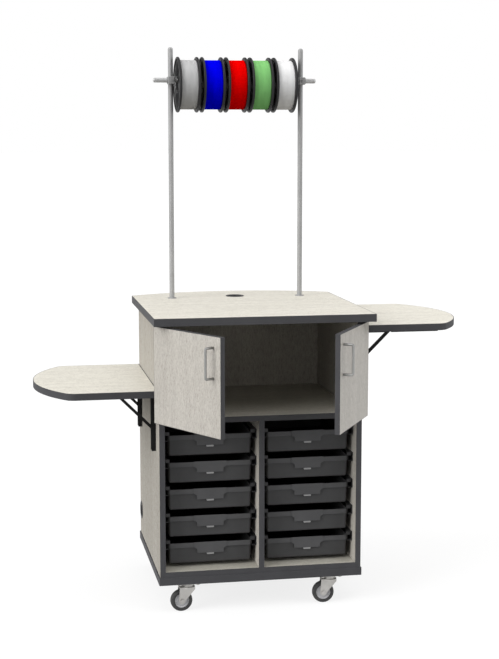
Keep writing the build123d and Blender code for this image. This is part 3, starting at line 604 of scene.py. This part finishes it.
# --- casters ------------------------------------------------------------------------------------
dress("caster_plates", plated_steel)
soften(nodes["caster_plates"], CASTER_EDGE)
for place in CASTER_PLACES:
    dress(f"caster_fork_{place}", plated_steel)
    soften(nodes[f"caster_fork_{place}"], CASTER_EDGE)
    spin = joints[f"wheel_{place}_spin"]
    hub_mesh = lathe("hub", HUB_PROFILE, spin["pos_m"], spin["axis"], segments=72)
    tyre_mesh = lathe("tyre", TYRE_PROFILE, spin["pos_m"], spin["axis"], segments=96)
    hub = add_piece(f"wheel_hub_{place}", hub_mesh, hub_plastic, f"wheel_{place}")
    tyre = add_piece(f"wheel_tyre_{place}", tyre_mesh, tyre_rubber, f"wheel_{place}")
    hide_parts(f"caster_wheel_{place}")
    for piece in (hub, tyre):
        soften(piece, CASTER_EDGE, weld=False)

# --- stage, light and camera --------------------------------------------------------------------
FLOOR_REACH = 120               # metres each way, so that its rim is never seen
FLOOR_GLOW = 0.81               # keeps the floor nearly white around the cart
floor_mesh = bpy.data.meshes.new("studio_floor")
corners = [(-1, -1), (1, -1), (1, 1), (-1, 1)]
floor_mesh.from_pydata([(x * FLOOR_REACH, y * FLOOR_REACH, 0) for x, y in corners], [], [(0, 1, 2, 3)])
floor_look = Look("studio_floor", roughness=0.9)
floor_look.colour(floor_look.ramp(floor_look.noise(0.8), [
    (0.3, (0.175, 0.175, 0.175)),
    (0.7, (0.185, 0.185, 0.185)),
]))
floor_look.shine(0.0)
floor_look.shader.inputs["Emission Color"].default_value = (1, 1, 1, 1)
floor_look.shader.inputs["Emission Strength"].default_value = FLOOR_GLOW
floor_mesh.materials.append(floor_look.material)
floor = bpy.data.objects.new("studio_floor", floor_mesh)
floor.visible_diffuse = False
bpy.context.scene.collection.objects.link(floor)

# The sky is brightest in a narrow band at the horizon. Each stop is (height, level), where a
# height of 0 is straight down, 0.5 the horizon and 1 straight up.
SKY_STOPS = [(0.0, 0.16), (0.47, 0.20), (0.485, 1.0), (0.56, 1.0), (0.62, 0.30), (1.0, 0.34)]
world = bpy.data.worlds.new("studio")
world.use_nodes = True
bpy.context.scene.world = world
tree = world.node_tree
direction = tree.nodes.new("ShaderNodeTexCoord")
split = tree.nodes.new("ShaderNodeSeparateXYZ")
heights = tree.nodes.new("ShaderNodeMapRange")
heights.inputs["From Min"].default_value = -1
heights.inputs["From Max"].default_value = 1
sky = tree.nodes.new("ShaderNodeValToRGB")
while len(sky.color_ramp.elements) < len(SKY_STOPS):
    sky.color_ramp.elements.new(0.5)
for element, (position, level) in zip(sky.color_ramp.elements, SKY_STOPS):
    element.position = position
    element.color = (level, level, level, 1)
tree.links.new(direction.outputs["Generated"], split.inputs["Vector"])
tree.links.new(split.outputs["Z"], heights.inputs["Value"])
tree.links.new(heights.outputs["Result"], sky.inputs["Fac"])
tree.links.new(sky.outputs["Color"], tree.nodes["Background"].inputs["Color"])


def sun(name, source, strength, softness):
    """A distant light from the given direction, softness degrees wide."""
    data = bpy.data.lights.new(name, "SUN")
    data.energy = strength
    data.angle = math.radians(softness)
    lamp = bpy.data.objects.new(name, data)
    lamp.rotation_euler = Vector(source).to_track_quat("Z", "Y").to_euler()
    bpy.context.scene.collection.objects.link(lamp)


sun("left", (-0.87, -0.39, 0.38), 2.95, 40)
sun("right", (0.87, -0.40, 0.30), 1.25, 40)
sun("top", (-0.05, -0.12, 1.0), 2.1, 80)

CAMERA_PLACE = (-0.973, -5.217, 1.719)
CAMERA_YAW = 0.1833             # radians to the right of straight ahead
CAMERA_PITCH = 0.1347           # radians down
camera_data = bpy.data.cameras.new("camera")
camera_data.sensor_width = 36
camera_data.sensor_fit = "HORIZONTAL"
camera_data.lens = 104.54
camera_data.clip_end = 500
camera = bpy.data.objects.new("camera", camera_data)
camera.location = CAMERA_PLACE
level = math.cos(CAMERA_PITCH)
forward = Vector((math.sin(CAMERA_YAW) * level, math.cos(CAMERA_YAW) * level, -math.sin(CAMERA_PITCH)))
camera.rotation_euler = forward.to_track_quat("-Z", "Y").to_euler()
bpy.context.scene.collection.objects.link(camera)
bpy.context.scene.camera = camera
bpy.context.scene.view_settings.view_transform = "Standard"
